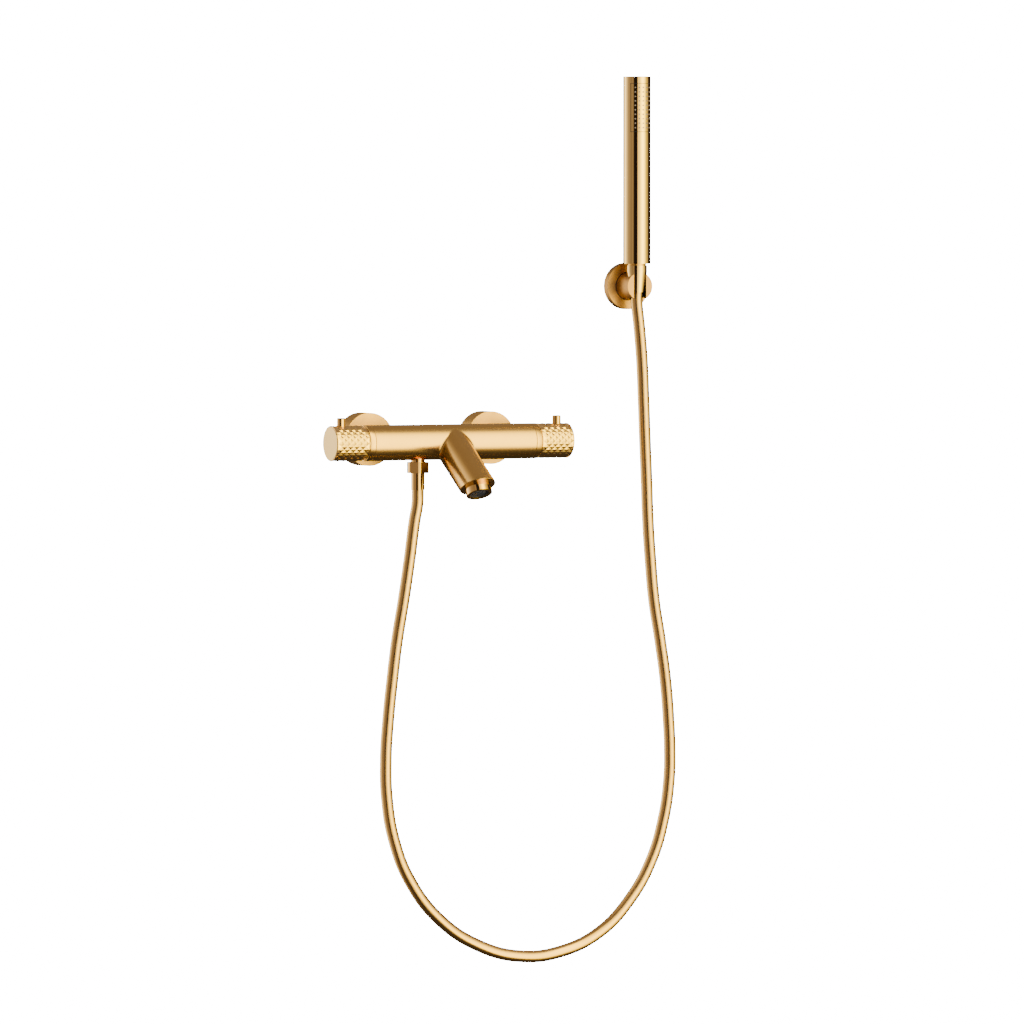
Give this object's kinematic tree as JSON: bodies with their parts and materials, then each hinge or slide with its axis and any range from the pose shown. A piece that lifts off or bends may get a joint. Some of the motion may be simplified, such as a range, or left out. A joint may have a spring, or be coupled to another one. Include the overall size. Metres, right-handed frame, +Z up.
{
  "type": "wall mounted thermostatic bath and shower mixer",
  "caption": "Gold exposed bath mixer bar with knurled end knobs and a sloping spout, with a stick hand shower in a wall bracket and a hanging hose.",
  "frame": {"origin": "midway between the two wall threads, on the finished wall", "axes": "+Z up, +X along the bar to the right of someone facing it, +Y into the wall"},
  "size_m": [0.4422, 0.1882, 0.9883],
  "materials": {
    "satin_gold": "satin brushed gold plating on cast brass",
    "polished_gold": "polished gold plating",
    "knurled_gold": "polished gold plating with a raised diamond pattern",
    "hose_gold": "smooth PVC sleeve over a metallised gold layer",
    "brass": "machined",
    "rubber": "matt black",
    "white_plastic": "moulded acetal",
    "grey_plastic": "moulded",
    "ceramic": "lapped ceramic, stood in for by gloss plastic",
    "steel": "stainless",
    "copper": "copper",
    "silicone": "soft silicone"
  },
  "bodies": {
    "mixer": {"mixer_body": "satin_gold", "body_collars": "satin_gold", "inlet_tail_left": "brass", "inlet_tail_right": "brass", "check_valves": "white_plastic", "inlet_filters": "rubber", "union_nut_left": "polished_gold", "union_nut_right": "polished_gold", "s_union_left": "brass", "s_union_right": "brass", "wall_flange_left": "satin_gold", "wall_flange_right": "satin_gold", "flow_cartridge": "brass", "flow_cartridge_nut": "brass", "flow_disc_fixed": "ceramic", "flow_cartridge_base": "grey_plastic", "flow_stop_ring": "white_plastic", "thermostat_cartridge": "brass", "thermostat_nut": "brass", "thermostat_base": "grey_plastic", "thermostat_spring": "steel", "temp_stop_ring": "white_plastic", "aerator_housing": "polished_gold", "aerator_insert": "grey_plastic", "aerator_washer": "rubber", "outlet_nipple": "brass", "hose_nut": "polished_gold", "hose_washer": "rubber", "hose_ferrule": "polished_gold", "hose": "hose_gold", "bracket_flange": "satin_gold", "bracket_plate": "steel", "bracket_arm": "satin_gold", "bracket_grub_screw": "steel", "bracket_screws": "steel", "wall_plugs": "white_plastic"},
    "flow_control": {"flow_knob": "knurled_gold", "flow_knob_cap": "satin_gold", "flow_knob_screw": "steel", "flow_spindle": "brass", "flow_disc_moving": "ceramic", "flow_button_spring": "steel"},
    "flow_push": {"flow_button": "satin_gold"},
    "temp_control": {"temp_knob": "knurled_gold", "temp_knob_cap": "satin_gold", "temp_knob_screw": "steel", "temp_spindle": "brass", "temp_button_spring": "steel"},
    "temp_push": {"temp_button": "satin_gold"},
    "wax_motor": {"thermostat_element": "copper", "thermostat_shuttle": "white_plastic"},
    "hose_end": {"swivel_ferrule": "brass"},
    "handset": {"cone_nut": "polished_gold", "cone_washer": "rubber", "handset_inlet": "brass", "handset_tube": "polished_gold", "handset_core": "grey_plastic", "nozzle_mat": "silicone", "spray_plate": "polished_gold"}
  },
  "joints": [
    {"name": "flow_turn", "type": "hinge", "parent": "mixer", "child": "flow_control", "pos_m": [0, -0.072, -0.0025], "axis": [1, 0, 0], "range_deg": [-90, 90]},
    {"name": "flow_press", "type": "slide", "parent": "flow_control", "child": "flow_push", "axis": [0, 0, -1], "range_m": [0, 0.003], "stiffness_N_per_m": 600, "springref_m": -0.002, "deforming": ["flow_button_spring"]},
    {"name": "temp_turn", "type": "hinge", "parent": "mixer", "child": "temp_control", "pos_m": [0, -0.072, -0.0025], "axis": [1, 0, 0], "range_deg": [-120, 60]},
    {"name": "temp_press", "type": "slide", "parent": "temp_control", "child": "temp_push", "axis": [0, 0, -1], "range_m": [0, 0.003], "stiffness_N_per_m": 600, "springref_m": -0.002, "deforming": ["temp_button_spring"]},
    {"name": "element_slide", "type": "slide", "parent": "mixer", "child": "wax_motor", "axis": [-1, 0, 0], "range_m": [-0.0015, 0.0028], "deforming": ["thermostat_spring"]},
    {"name": "handset_lift", "type": "slide", "parent": "mixer", "child": "hose_end", "axis": [0, 0, 1], "range_m": [0, 0.06]},
    {"name": "handset_swivel", "type": "hinge", "parent": "hose_end", "child": "handset", "pos_m": [0.255, -0.0302, 0.3], "axis": [0, 0, 1], "range_deg": [-180, 180]}
  ],
  "couplings": [
    {"joint": "element_slide", "follows": "temp_turn", "m_per_rad": -0.0012}
  ]
}
